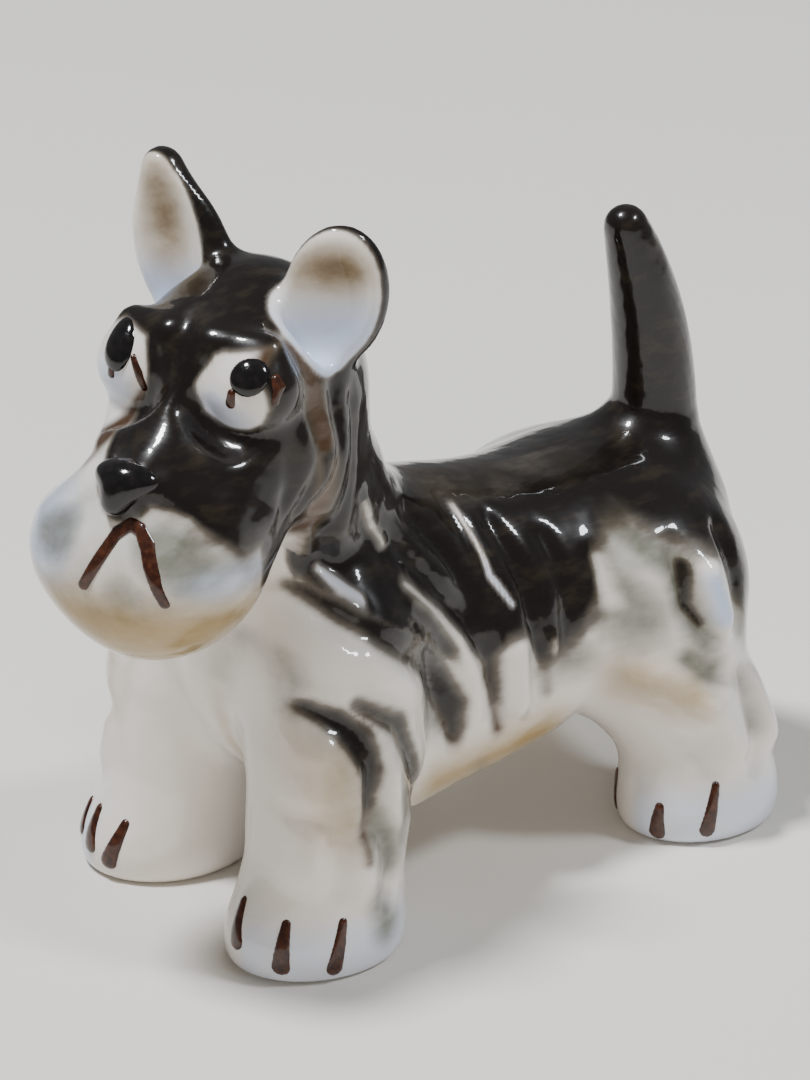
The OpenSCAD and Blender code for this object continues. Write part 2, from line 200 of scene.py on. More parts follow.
press_on("tail", limb((0, 20.2, 17.6), 3.9, (0, 20.5, 21.4), 2.7), 2.6)
for k in range(18):
    ends = []
    for t in (k / 18, (k + 1) / 18):
        ends += [(0, 20.5 + 0.5 * t - 2.9 * t * t, 20.6 + 13.5 * t), 2.6 - 0.5 * t - 0.75 * t ** 3]
    press_on("tail", limb(*ends), 0.05)

# ---------------------------------------------------------------------------------------
# Head: hollow casting of skull, bridge and whiskered muzzle, turned to the dog's left.

HEAD = np.array([1.5, -10.5, 31.9])
HEAD_TURN = 22.0


def on_head(x, y, z):
    """A place on the head, in the head's own frame, as a place in the figure's frame."""
    a = math.radians(HEAD_TURN)
    return (HEAD[0] + x * math.cos(a) - y * math.sin(a),
            HEAD[1] + x * math.sin(a) + y * math.cos(a), HEAD[2] + z)


press_on("head", limb(NECK_JOINT, 5.8, NECK_TOP, 5.0), 1.0)
press_on("head", egg(on_head(0, 0.4, 0.2), (6.3, 6.6, 7.2), HEAD_TURN), 2.0)
press_on("head", egg(on_head(0, -3.6, 1.0), (5.6, 3.6, 5.0), HEAD_TURN), 2.0)
press_on("head", limb(on_head(0, -4.6, 0.0), 3.3, on_head(0.1, -10.4, -1.9), 1.9), 2.0)
press_on("head", egg(on_head(-3.2, -8.8, -6.3), (4.4, 5.0, 4.1), HEAD_TURN), 1.6)
press_on("head", egg(on_head(1.6, -8.8, -6.2), (4.4, 5.0, 4.2), HEAD_TURN), 1.6)
press_on("head", egg(on_head(-0.9, -8.2, -8.3), (5.2, 5.2, 4.6), HEAD_TURN), 2.0)
CHEEK_BARS = [        # from, radius, to, radius, fillet; the same on both sides
    ((4.6, -2.0, -2.6), 2.4, (3.4, 0.2, -6.0), 2.6, 2.4),
    ((2.0, -5.6, -0.2), 2.8, (2.6, -8.0, -3.0), 2.6, 1.6),
    ((3.2, -3.6, -1.6), 2.7, (3.0, -5.6, -4.4), 2.8, 1.6)]
for side in (-1, 1):
    for (ax, ay, az), ra, (bx, by, bz), rb, fillet in CHEEK_BARS:
        bar = limb(on_head(side * ax, ay, az), ra, on_head(side * bx, by, bz), rb)
        press_on("head", bar, fillet)
    carve(egg(on_head(side * 3.7, -7.6, 2.4), (2.9, 1.3, 2.6), HEAD_TURN), 1.2)
    press_on("head", egg(on_head(side * 3.5, -4.9, 2.5), (2.7, 2.3, 2.5), HEAD_TURN), 0.5)
    brow = limb(on_head(side * 1.4, -5.5, 5.0), 0.45, on_head(side * 4.4, -4.5, 5.0), 0.45)
    press_on("head", brow, 1.6)

# ---------------------------------------------------------------------------------------
# Left ear: a small rounded ear, pinched into a dish that opens forwards and outwards.

press_on("ear_left", egg(on_head(5.3, 0.9, 6.2), (2.95, 1.3, 4.2), HEAD_TURN + 26, -8), 0.9)
ear_dish = {"ear_left": egg(on_head(5.65, -0.5, 6.4), (2.5, 1.2, 3.65), HEAD_TURN + 26, -8)}
carve(ear_dish["ear_left"], 0.5)

# ---------------------------------------------------------------------------------------
# Right ear: taller and pointed, with a narrow hollow.

press_on("ear_right", egg(on_head(-4.7, 1.4, 6.4), (3.0, 1.3, 4.6), HEAD_TURN + 6, 16), 1.2)
press_on("ear_right", limb(on_head(-5.6, 1.6, 8.6), 1.5, on_head(-6.3, 1.7, 11.3), 1.15), 1.6)
ear_dish["ear_right"] = egg(on_head(-5.3, -0.1, 7.9), (2.1, 1.2, 4.6), HEAD_TURN + 6, 14)
carve(ear_dish["ear_right"], 0.5)

# ---------------------------------------------------------------------------------------
# Coat: the modeller's tool marks that stand for the terrier's shaggy coat, as soft grooves
# and ridges pressed into the clay along the flanks, legs, neck and whiskers.

near = np.argwhere(np.abs(clay) < 1.2)
shell = CLAY_LOW + PITCH * near


def ease(t):
    t = np.clip(t, 0, 1)
    return t * t * (3 - 2 * t)


def head_frame(p):
    """Places in the head's own frame: to its left, backwards, up."""
    a, d = math.radians(HEAD_TURN), p - HEAD
    return (d[:, 0] * math.cos(a) + d[:, 1] * math.sin(a),
            d[:, 1] * math.cos(a) - d[:, 0] * math.sin(a), d[:, 2])


def stroke(u, v, path, soft):
    """How much of a stroke lies on each place (u, v); path is (u, v, half width), mm."""
    best = np.full(len(u), -9.0)
    for (a, b, ra), (c, d, rb) in zip(path, path[1:]):
        length = (c - a) ** 2 + (d - b) ** 2
        t = np.clip(((u - a) * (c - a) + (v - b) * (d - b)) / length, 0, 1)
        gap = np.hypot(u - a - t * (c - a), v - b - t * (d - b))
        best = np.maximum(best, (ra + t * (rb - ra) - gap) / soft)
    return ease(0.5 + 0.5 * best)


def dab(u, v, at, half, turn, soft):
    """An oval touch of the brush at a place, with its two half sizes and its slant."""
    a = math.radians(turn)
    p, q = u - at[0], v - at[1]
    p, q = p * math.cos(a) + q * math.sin(a), q * math.cos(a) - p * math.sin(a)
    return ease(0.5 + 0.5 * (1 - np.hypot(p / half[0], q / half[1])) * min(half) / soft)


SIDE_GROOVES = [      # y, z, half width, then the depth
    ([(-10.2, 20.4, 0.3), (-7.0, 18.2, 0.5), (-4.0, 16.0, 0.6), (-1.6, 12.2, 0.4),
      (-1.0, 9.6, 0.2)], 0.35),
    ([(-5.0, 24.0, 0.3), (-2.5, 20.4, 0.5), (0.6, 16.6, 0.5), (1.6, 13.0, 0.3)], 0.30),
    ([(-1.8, 23.0, 0.3), (0.6, 19.6, 0.4), (2.0, 16.0, 0.5), (2.3, 10.0, 0.3)], 0.30),
    ([(2.0, 22.0, 0.3), (2.4, 19.0, 0.4), (3.4, 16.6, 0.4)], 0.22),
    ([(4.4, 20.6, 0.3), (5.2, 17.4, 0.5), (5.4, 13.6, 0.4), (5.2, 10.6, 0.3)], 0.30),
    ([(7.4, 19.2, 0.4), (7.8, 16.0, 0.5), (7.0, 12.4, 0.4)], 0.25),
    ([(10.0, 17.6, 0.4), (10.4, 15.8, 0.4), (9.6, 13.4, 0.3)], 0.22),
    ([(14.6, 17.4, 0.3), (14.8, 14.6, 0.5), (15.8, 12.6, 0.4)], 0.45),
    ([(18.4, 17.6, 0.3), (18.8, 14.6, 0.4), (18.4, 12.2, 0.3)], 0.35),
    ([(14.2, 11.6, 0.4), (15.6, 10.2, 0.6), (17.0, 9.8, 0.3)], 0.40),
    ([(18.2, 9.4, 0.3), (18.4, 6.4, 0.5), (17.8, 4.4, 0.3)], 0.35),
    ([(12.4, 8.6, 0.3), (14.2, 6.4, 0.5), (14.6, 4.6, 0.3)], 0.28),
    ([(-12.4, 15.8, 0.3), (-10.6, 14.6, 0.5), (-9.9, 12.4, 0.5), (-10.3, 8.6, 0.3)], 0.35),
    ([(-9.8, 15.6, 0.3), (-7.6, 14.0, 0.4), (-6.6, 11.6, 0.4), (-5.2, 8.4, 0.3)], 0.35),
    ([(-12.8, 12.4, 0.3), (-12.2, 8.0, 0.5), (-12.4, 5.4, 0.3)], 0.22),
    ([(-9.4, 8.4, 0.3), (-8.4, 6.0, 0.4), (-9.2, 3.8, 0.3)], 0.30),
    ([(-7.0, 27.0, 0.3), (-6.4, 24.4, 0.4), (-5.0, 22.0, 0.3)], 0.30),
    ([(-9.6, 25.4, 0.3), (-9.0, 22.8, 0.4), (-7.6, 20.6, 0.3)], 0.30),
    ([(-11.0, 24.6, 0.3), (-11.0, 21.6, 0.4), (-9.4, 19.0, 0.3)], 0.25)]
SIDE_RIDGES = [
    ([(-3.9, 20.0, 0.3), (-0.5, 16.0, 0.6), (0.5, 13.4, 0.8), (0.4, 11.0, 0.5)], 0.30),
    ([(3.9, 14.2, 0.4), (3.8, 10.8, 0.6)], 0.35),
    ([(6.5, 13.8, 0.3), (6.4, 13.2, 0.4)], 0.25),
    ([(16.6, 16.0, 0.8), (16.9, 13.4, 0.9)], 0.45),
    ([(12.0, 10.6, 0.9), (14.0, 8.6, 1.2)], 0.30),
    ([(-6.5, 26.0, 0.3), (-4.9, 23.0, 0.4)], 0.25),
    ([(-9.3, 22.2, 0.4), (-8.0, 20.9, 0.5)], 0.25),
    ([(-11.0, 12.6, 0.7), (-11.4, 10.0, 0.9)], 0.30),
    ([(-12.6, 13.6, 0.8), (-12.9, 11.2, 1.0)], 0.35),
    ([(-13.4, 8.6, 0.8), (-13.6, 6.6, 0.9)], 0.30),
    ([(-10.6, 7.2, 0.8), (-10.8, 5.2, 0.9)], 0.30),
    ([(15.4, 8.2, 0.8), (16.4, 6.0, 0.9)], 0.32),
    ([(19.8, 8.4, 0.7), (20.2, 5.6, 0.9)], 0.32),
    ([(-8.4, 11.6, 0.5), (-8.2, 8.6, 0.7)], 0.28)]
FACE_GROOVES = [      # to the dog's left, up, half width, then the depth
    ([(1.4, -2.3, 0.3), (4.4, -3.5, 0.5), (6.0, -5.6, 0.4), (6.3, -7.8, 0.2)], 0.30),
    ([(-2.4, -1.2, 0.2), (-4.6, -1.8, 0.4), (-6.4, -3.4, 0.3)], 0.35),
    ([(0.4, -3.2, 0.2), (2.0, -4.8, 0.3), (3.0, -7.0, 0.2)], 0.20),
    ([(0.4, -3.2, 0.2), (-1.0, -5.0, 0.3), (-1.8, -6.9, 0.2)], 0.20),
    ([(2.4, -3.6, 0.5), (3.4, -4.8, 0.7), (4.4, -5.4, 0.5)], 0.55),
    ([(-3.0, -3.4, 0.4), (-4.0, -4.6, 0.7), (-5.0, -5.6, 0.5)], 0.50),
    ([(0.6, -6.4, 0.4), (0.8, -7.6, 0.6)], 0.30),
    ([(-0.4, 6.6, 0.3), (-0.6, 4.6, 0.5), (-0.5, 2.6, 0.3)], 0.15),
    ([(1.0, 2.0, 0.3), (2.6, 0.3, 0.4), (5.0, 0.2, 0.3)], 0.25),
    ([(3.2, -0.6, 0.2), (4.6, -1.6, 0.3), (5.6, -3.4, 0.2)], 0.22)]
CHEEK_GROOVES = [     # backwards, up
    ([(-0.8, 1.6, 0.2), (-1.2, -1.4, 0.4), (-2.6, -4.6, 0.3)], 0.40),
    ([(-3.2, 1.4, 0.2), (-3.0, -1.6, 0.4), (-4.2, -4.4, 0.3)], 0.35),
    ([(0.8, 0.6, 0.2), (0.6, -3.0, 0.4), (-0.6, -6.6, 0.3)], 0.35),
    ([(-5.0, -0.4, 0.2), (-5.2, -2.6, 0.3), (-6.0, -4.6, 0.2)], 0.25)]

shift = np.zeros(len(shell))
i, j, k = np.clip(near, 1, np.array(clay.shape) - 2).T
sideways = (clay[i + 1, j, k] - clay[i - 1, j, k]) / (2 * PITCH)
sx, sy, sz = shell.T
hx, hy, hz = head_frame(shell)
low_part = ease((27.5 - sz) / 3) * ease((np.hypot(hx, hy + 9) - 6.0) / 1.5 + (24 - sz))
for side, slip in ((1, 0.0), (-1, 0.6)):
    flank = ease((side * sx - 1.5) / 2.0) * low_part * ease((side * sideways - 0.1) / 0.4)
    for path, depth in SIDE_GROOVES:
        shift += 1.8 * flank * depth * stroke(sy + slip, sz, path, 0.8)
    for path, depth in SIDE_RIDGES:
        shift -= 1.9 * flank * depth * stroke(sy + slip, sz, path, 0.9)
    cheek = ease((side * hx - 2.5) / 2.0) * ease((sz - 23) / 2)
    for path, depth in CHEEK_GROOVES:
        shift += cheek * depth * stroke(hy, hz, path, 0.6)
face = ease((-3.5 - hy) / 1.5) * ease((hz + 13) / 2)
for path, depth in FACE_GROOVES:
    shift += face * depth * stroke(hx, hz, path, 0.6)
clay[tuple(near.T)] += shift.astype(np.float32)

# ---------------------------------------------------------------------------------------
# Luting and fettling: the soles are rubbed flat, and the skin of the clay is taken off as one
# net of faces.

for axis in (0, 1, 2, 0, 1, 2):     # a wet sponge over the whole figure takes the edges down
    clay = np.moveaxis(clay, axis, 0)
    clay[1:-1] = 0.25 * clay[:-2] + 0.5 * clay[1:-1] + 0.25 * clay[2:]
    clay = np.moveaxis(clay, 0, axis)

floor_gap = CLAY_LOW[2] + PITCH * np.arange(count[2])
ROUND_OVER = 0.5
old, new = clay, -floor_gap[None, None, :].astype(np.float32)
h = np.clip(0.5 - 0.5 * (old - new) / ROUND_OVER, 0, 1)
clay = old + (new - old) * h + ROUND_OVER * h * (1 - h)


def skin_of(field, low, pitch):
    """Net of quads over the zero surface of field (surface nets): points and quads."""
    inside = field < 0
    n = np.array(field.shape) - 1
    corner = [(i, j, k) for i in (0, 1) for j in (0, 1) for k in (0, 1)]
    cut = [tuple(slice(o, o + m) for o, m in zip(c, n)) for c in corner]
    total = sum(inside[c].astype(np.int8) for c in cut)
    cell = np.argwhere((total > 0) & (total < 8))
    index = np.full(n, -1, np.int64)
    index[tuple(cell.T)] = np.arange(len(cell))
    value = np.stack([field[tuple((cell + c).T)] for c in corner], 1).astype(float)
    place, hits = np.zeros((len(cell), 3)), np.zeros(len(cell))
    for a in range(8):
        for b in range(a + 1, 8):
            step = np.array(corner[b]) - np.array(corner[a])
            if np.abs(step).sum() != 1:
                continue
            va, vb = value[:, a], value[:, b]
            crossing = (va < 0) != (vb < 0)
            t = np.where(crossing, va / np.where(crossing, va - vb, 1), 0)
            place += crossing[:, None] * (np.array(corner[a]) + t[:, None] * step)
            hits += crossing
    points = low + pitch * (cell + place / hits[:, None])
    quads = []
    for axis in range(3):
        u, v = (axis + 1) % 3, (axis + 2) % 3
        here = [slice(0, s) for s in field.shape]
        there = list(here)
        here[axis], there[axis] = slice(0, -1), slice(1, None)
        first, second = inside[tuple(here)], inside[tuple(there)]
        edge = np.argwhere(first != second)
        edge = edge[(edge[:, u] > 0) & (edge[:, v] > 0) & (edge[:, u] < n[u]) & (edge[:, v] < n[v])]
        du, dv = np.eye(3, dtype=int)[u], np.eye(3, dtype=int)[v]
        ring = np.stack([index[tuple((edge - o).T)] for o in (du + dv, dv, 0 * du, du)], 1)
        outward = first[tuple(edge.T)]
        quads.append(np.where(outward[:, None], ring, ring[:, ::-1]))
    return points, np.concatenate(quads)


points, quads = skin_of(clay, CLAY_LOW, PITCH)
tris = np.concatenate([quads[:, [0, 1, 2]], quads[:, [0, 2, 3]]])


def normals_of(points, tris):
    a, b, c = (points[tris[:, k]] for k in range(3))
    face = np.cross(b - a, c - a)
    total = np.zeros_like(points)
    for k in range(3):
        for axis in range(3):
            total[:, axis] += np.bincount(tris[:, k], face[:, axis], len(points))
    return total / np.maximum(np.linalg.norm(total, axis=1, keepdims=True), 1e-12)


normals = normals_of(points, tris)

# Each piece takes the faces nearest to its own forms. The cuts between pieces are closed with
# faces that two neighbours share, as luted faces are.
piece_names = list(forms)
nearness = np.stack([np.min([form(points) for form in forms[name]], 0) for name in piece_names], 1)
owner = nearness[tris].mean(1).argmin(1)

x, y, z = points.T
hx, hy, hz = head_frame(points)
whose = nearness.argmin(1)
is_head = np.isin(whose, [piece_names.index(n) for n in ("head", "ear_left", "ear_right")])
is_tail = whose == piece_names.index("tail")
black, umber, moss_and_shade, sky, ochre_and_warm_reflection = (np.zeros(len(points)) for _ in range(5))


def lay(paint, amount):
    np.maximum(paint, amount, out=paint)


def wipe(amount):
    for paint in (black, umber, moss_and_shade):
        paint *= 1 - amount


# --- brushwork on the back and flanks: y, z, half width
SADDLE_EDGE = [(-12, 31), (-11.2, 25), (-10.4, 22), (-8, 20), (-6, 18.4), (-4, 17), (-2, 15.6),
               (0, 14.2), (2, 13.4), (3.2, 14.8), (4.6, 14.8), (5.6, 12.6), (7.2, 12.8),
               (8.6, 14), (9.6, 15.6), (10.2, 17.8), (11.5, 19), (13, 19.2), (14.2, 18.4),
               (15, 17.8), (16.4, 17.2), (17.6, 16.8), (18.6, 14.6), (19.6, 13),
               (21, 13.6), (24, 14)]
edge_y, edge_z = zip(*SADDLE_EDGE)
for side, slip in ((1, 0.0), (-1, 0.7)):
    flank = (ease((side * x - 0.5) / 1.5) * ~is_tail * ~is_head
             * ease((side * normals[:, 0] + 0.1) / 0.3))
    ragged = 0.7 * np.sin(1.1 * x + 0.4 * y) + 0.4 * np.sin(2.3 * x - 0.9 * y)
    sharp = np.interp(y, (4, 8), (0.5, 0.3))
    over_edge = z - np.interp(y + slip, edge_y, edge_z) - ragged * ease((y - 17) / 4)
    top = ease(0.5 + sharp * over_edge)
    lay(black, ease((side * x + 1.0) / 1.2) * ~is_tail * ~is_head * top)

    def mark(paint, path, strength, soft=0.85):
        lay(paint, flank * strength * stroke(y + slip, z, path, soft))

    def clear(path, strength, soft=0.65):
        wipe(flank * strength * stroke(y + slip, z, path, soft))

    # painted highlight: along the top of the back the black is thinned to brown, a warm sheen
    # painted in where the light catches the crest
    painted_crest_sheen = (~is_tail * ease((z - 20.4) / 1.6) * ease((y + 2) / 3) * ease((15.5 - y) / 3)
             * ease((4.6 - np.abs(x)) / 2))
    black[:] = black * (1 - 0.14 * painted_crest_sheen)
    lay(umber, painted_crest_sheen * 0.7)
    # light brush gaps in the saddle
    clear([(-6.5, 26.2, 0.25), (-5.8, 24.6, 0.4), (-4.7, 22.6, 0.35)], 0.75, 0.4)
    clear([(-9.4, 22.4, 0.3), (-8.8, 21.6, 0.5), (-8.0, 20.9, 0.4)], 0.95, 0.4)
    clear([(-4.2, 20.4, 0.3), (-2.0, 18.0, 0.4), (-0.4, 15.8, 0.5), (0.5, 13.8, 0.75),
           (0.4, 11.4, 0.8)], 0.95)
    clear([(2.6, 21.8, 0.18), (3.0, 19.5, 0.22), (3.1, 18.3, 0.25), (4.0, 16.6, 0.22)], 0.95, 0.22)
    clear([(3.9, 14.0, 0.5), (3.8, 11.0, 0.9)], 1.0, 0.4)
    clear([(6.4, 13.9, 0.25), (6.4, 13.4, 0.35)], 0.8, 0.3)
    mark(sky, [(3.1, 18.6, 0.2), (4.0, 16.6, 0.25)], 0.9)
    mark(sky, [(-9.4, 22.4, 0.3), (-8.0, 20.9, 0.4)], 0.6)
    # dark strokes below it
    mark(black, [(-10.2, 21.2, 0.4), (-8.5, 19.9, 0.6), (-6.6, 18.6, 0.9), (-4.3, 17.0, 1.0),
                 (-2.2, 14.2, 0.9), (-0.9, 12.0, 0.7), (-0.8, 10.2, 0.4)], 1.0)
    mark(umber, [(-1.2, 12.0, 0.8), (-0.8, 9.9, 0.5)], 0.8)
    mark(umber, [(-5.6, 19.6, 0.3), (-4.4, 18.4, 0.4)], 0.6)
    mark(umber, [(2.0, 13.6, 0.4), (2.2, 9.6, 0.35)], 0.95)
    mark(black, [(2.0, 14.4, 0.6), (2.2, 11.4, 0.3)], 0.8)
    mark(umber, [(5.9, 13.4, 0.7), (5.9, 10.8, 0.5)], 0.55, 0.6)
    mark(black, [(6.6, 16.0, 1.1), (8.8, 15.0, 1.0)], 0.75, 1.0)
    # mottled grey over the rump
    mark(moss_and_shade, [(6.4, 13.4, 1.2), (7.6, 15.8, 1.6), (9.6, 17.8, 1.8), (12.6, 18.2, 1.4)], 0.7, 1.6)
    mark(moss_and_shade, [(9.4, 18.6, 1.3), (10.2, 16.4, 1.8), (11.6, 14.2, 1.7)], 0.85, 1.4)
    mark(moss_and_shade, [(12.2, 18.8, 1.1), (14.2, 17.0, 1.1)], 0.95, 0.9)
    mark(moss_and_shade, [(14.6, 17.0, 1.0), (14.4, 14.6, 1.0), (15.6, 12.2, 0.9)], 0.9, 1.0)
    clear([(10.4, 17.6, 0.3), (10.4, 15.4, 0.5)], 0.75, 0.5)
    mark(black, [(15.0, 16.6, 0.4), (14.8, 14.4, 0.35), (15.5, 13.2, 0.2)], 0.85, 0.4)
    clear([(16.4, 16.0, 0.7), (16.9, 13.2, 0.8)], 1.0, 0.45)
    mark(sky, [(16.4, 15.6, 0.6), (16.8, 13.6, 0.7)], 0.9, 0.5)
    mark(moss_and_shade, [(18.4, 16.6, 0.8), (19.0, 14.0, 0.9), (19.6, 11.2, 0.8)], 0.85, 0.9)
    # painted shade: grey along the dent under the haunch, where shade falls
    mark(moss_and_shade, [(14.4, 11.4, 0.7), (15.8, 10.4, 0.9)], 0.9, 0.9)
    mark(moss_and_shade, [(6.2, 12.4, 1.0), (8.2, 12.2, 1.0)], 0.7, 1.2)
    mark(moss_and_shade, [(-4.6, 16.2, 0.8), (-3.4, 14.2, 0.8), (-2.0, 11.0, 0.8)], 0.6, 1.0)
    mark(moss_and_shade, [(18.2, 9.6, 0.5), (18.3, 6.4, 0.6)], 0.6, 0.8)
    # painted reflection: most of this warm ochre on the thigh, the belly and the fronts of the
    # forelegs stands for warm light thrown up from below; a little of it is a real ochre wash
    mark(ochre_and_warm_reflection, [(11.0, 10.8, 1.2), (14.0, 9.6, 1.4)], 0.7, 1.6)
    mark(ochre_and_warm_reflection, [(-2.0, 7.2, 1.4), (6.0, 8.2, 1.4)], 0.9, 1.6)
    mark(ochre_and_warm_reflection, [(-12.0, 13.0, 1.4), (-11.8, 9.0, 1.4)], 0.6, 1.8)
    lay(sky, flank * ease((4.6 - z) / 2.5) * 0.55)
    mark(moss_and_shade, [(1.0, 7.6, 0.2), (1.6, 6.8, 0.3)], 0.6)
    # foreleg strokes
    mark(moss_and_shade, [(-12.6, 18.3, 0.2), (-12.7, 16.8, 0.35), (-12.9, 15.4, 0.25)], 0.75)
    mark(moss_and_shade, [(-12.3, 15.8, 0.8), (-10.3, 13.9, 1.4), (-10.2, 9.2, 1.2)], 0.45, 1.4)
    mark(black, [(-12.3, 15.8, 0.4), (-11.2, 15.1, 0.65), (-10.3, 13.9, 0.9), (-10.0, 12.2, 0.75),
                 (-10.2, 10.2, 0.4)], 0.95, 0.7)
    mark(umber, [(-10.2, 10.8, 0.55), (-10.5, 8.6, 0.45), (-10.6, 7.0, 0.3)], 0.8, 0.6)
    mark(moss_and_shade, [(-9.6, 15.8, 0.6), (-7.4, 13.8, 1.0), (-6.4, 10.6, 1.2)], 0.5, 1.2)
    mark(black, [(-10.1, 15.9, 0.35), (-7.6, 14.2, 0.6), (-6.9, 12.4, 0.6), (-5.8, 9.8, 0.7),
                 (-5.3, 8.0, 0.7)], 0.85, 0.7)
    mark(umber, [(-6.4, 11.4, 0.5), (-5.0, 7.8, 0.6)], 0.5, 0.5)
    mark(moss_and_shade, [(-9.9, 9.2, 0.9), (-8.5, 6.2, 1.1)], 0.95, 0.9)
    mark(moss_and_shade, [(-9.8, 4.6, 0.7), (-9.2, 2.6, 1.0)], 0.85, 0.9)
    mark(moss_and_shade, [(-7.0, 9.6, 0.9), (-7.4, 7.0, 0.9)], 0.75, 0.9)

# --- brushwork on the neck, head and face
back_of_head = ease((hy + 1.6) / 2.2 + 0.5) * ease((z - 19) / 3)
crown_x = [(-7.5, 3.6), (-6, 4.4), (-4.4, 5.2), (-2.2, 4.8), (0.8, 4.2), (2.4, 4.9), (5, 5.3),
           (6.4, 4.2), (7.5, 2.6)]
crown = ease(0.5 + 1.2 * (hz - np.interp(hx, *zip(*crown_x))))
for_head = is_head * ease((z - 21) / 2)
lay(black, for_head * np.maximum(crown, back_of_head))
front = is_head * ease((-2.4 - hy) / 1.6)
FACE_BLACK = [       # to the dog's left, up, half width, then how soft the edge is
    ([(-0.2, 5.6, 2.4), (-0.6, 3.0, 1.6), (-0.5, 1.2, 2.1), (-0.6, -1.0, 2.3)], 0.4),
    ([(0.6, 0.0, 1.8), (2.6, -0.9, 1.6), (4.7, -2.0, 1.4), (5.9, -3.8, 1.0)], 0.6),
    ([(0.8, -1.4, 0.7), (3.6, -2.4, 0.6), (5.4, -3.8, 0.6), (6.6, -5.8, 0.4),
      (6.8, -8.0, 0.3)], 0.4)]
for path, soft in FACE_BLACK:
    lay(black, front * stroke(hx, hz, path, soft))
lay(black, front * ease((hx - 4.5) / 0.9) * ease((hy + 8.4) / 1.4) * ease((hz + 10.5) / 2) * 0.9)
lay(umber, front * stroke(hx, hz, [(6.4, -4.6, 0.7), (6.6, -8.6, 0.5)], 0.5) * 0.9)
lay(umber, front * stroke(hx, hz, [(2.0, -2.5, 0.3), (4.6, -4.0, 0.4)], 0.4) * 0.5)
lay(black, front * stroke(hx, hz, [(1.8, -0.2, 1.5), (4.4, -0.3, 1.3), (5.8, 0.8, 0.9)], 0.5) * 0.9)
for side in (-1, 1):
    cheek = is_head * ease((side * hx - 3.6) / 1.2) * ease((hy + 7.4) / 1.6)
    lay(umber, cheek * ease(0.5 + (hz + 7.5) / 2.5) * 0.85)
    for path in ([(-0.8, 1.4, 0.25), (-1.2, -1.4, 0.35), (-2.7, -1.8, 0.3), (-2.8, -4.2, 0.3)],
                 [(0.6, 2.0, 0.6), (0.8, -3.0, 0.8), (0.0, -7.0, 0.6)],
                 [(-3.4, -2.6, 0.2), (-4.0, -5.4, 0.25)]):
        lay(black, cheek * stroke(hy, hz, path, 0.5) * 0.95)
# white round the eyes, and the pale cheek of the far side
for at, half, turn in (((3.3, 2.55), (2.2, 1.8), -12), ((-3.9, 2.8), (1.9, 2.3), 8)):
    wipe(front * dab(hx, hz, at, half, turn, 0.3))
    cool_at, cool_half = (at[0] - 0.6, at[1] - 0.9), (half[0] * 0.8, half[1] * 0.6)
    lay(sky, front * dab(hx, hz, cool_at, cool_half, turn, 0.7) * 0.7)
wipe(front * stroke(hx, hz, [(-5.0, 0.6, 1.2), (-5.2, -1.6, 1.3)], 0.5))
far_cheek = [(-2.3, 1.8, 0.2), (-3.2, 0.0, 0.45), (-4.8, -1.6, 0.6)]
lay(umber, front * stroke(hx, hz, far_cheek, 0.4) * 0.9)
# whiskers: bluish and grey-green washes above the chin, whose ochre is partly its own colour and
# partly painted reflection of warm light from below
muzzle = front * ease((-1.6 - hz) / 1.0)
lay(moss_and_shade, muzzle * 0.22)
lay(moss_and_shade, muzzle * dab(hx, hz, (-4.2, -4.8), (1.7, 1.4), 30, 0.8) * 0.8)
lay(moss_and_shade, muzzle * dab(hx, hz, (3.1, -4.6), (2.6, 1.5), -28, 0.9) * 0.9)
lay(moss_and_shade, muzzle * dab(hx, hz, (0.6, -6.8), (1.6, 1.2), 0, 0.9) * 0.5)
lay(sky, muzzle * dab(hx, hz, (-5.0, -5.2), (2.0, 2.6), 0, 1.0) * 0.75)
lay(sky, muzzle * dab(hx, hz, (5.2, -6.3), (1.6, 0.9), -20, 0.7) * 0.8)
# painted reflection: the chin's ochre deepens downwards, partly the glaze's own ochre and partly
# warm light thrown up from below
lay(ochre_and_warm_reflection, is_head * ease((-5.6 - hz) / 3.4) * ease((-4.5 - hy) / 3.0) * 1.0)
# ears: white hollows with a soft brown touch, black backs and rims
EAR_EDGE = {"ear_left": 0.04, "ear_right": 0.2}     # the white runs out to one edge
EAR_TOUCH = (("ear_left", (5.3, 7.9), (1.9, 1.3), 0), ("ear_right", (-5.7, 9.0), (1.1, 3.0), 10))
for name, at, half, turn in EAR_TOUCH:
    dish = whose == piece_names.index(name)
    opened = ear_dish[name](points)
    inner = is_head * ease(0.5 + (0.7 + EAR_EDGE[name] * (at[0] - hx) - opened) / 0.5)
    lay(black, dish * 1.0)
    wipe(inner)
    sky[:] = np.maximum(sky, inner * ease((7.4 - hz) / 3) * 0.8)
    lay(umber, inner * dab(hx, hz, at, half, turn, 1.1) * 0.55)
    lay(ochre_and_warm_reflection, inner * dab(hx, hz, at, half, turn, 1.1) * 0.8)
lay(black, is_tail * 1.0)

glaze = bpy.data.materials.new("glaze_over_brushwork")
glaze.use_nodes = True
nodes, links = glaze.node_tree.nodes, glaze.node_tree.links
shader = nodes["Principled BSDF"]
shader.inputs["Roughness"].default_value = 0.3
shader.inputs["Specular IOR Level"].default_value = 0.15
shader.inputs["Coat Weight"].default_value = 1.0
shader.inputs["Coat Roughness"].default_value = 0.03
shader.inputs["Coat IOR"].default_value = 1.42


def node(kind, **settings):
    made = nodes.new(kind)
    for key, value in settings.items():
        setattr(made, key, value)
    return made


def sum_of(operation, a, b, clamp=False):
    made = node("ShaderNodeMath", operation=operation, use_clamp=clamp)
    for socket, value in zip(made.inputs, (a, b)):
        if isinstance(value, (int, float)):
            socket.default_value = value
        else:
            links.new(value, socket)
    return made.outputs[0]


def soft_step(value, low, high):
    made = node("ShaderNodeMapRange", interpolation_type="SMOOTHSTEP")
    made.inputs["From Min"].default_value = low
    made.inputs["From Max"].default_value = high
    links.new(value, made.inputs["Value"])
    return made.outputs["Result"]


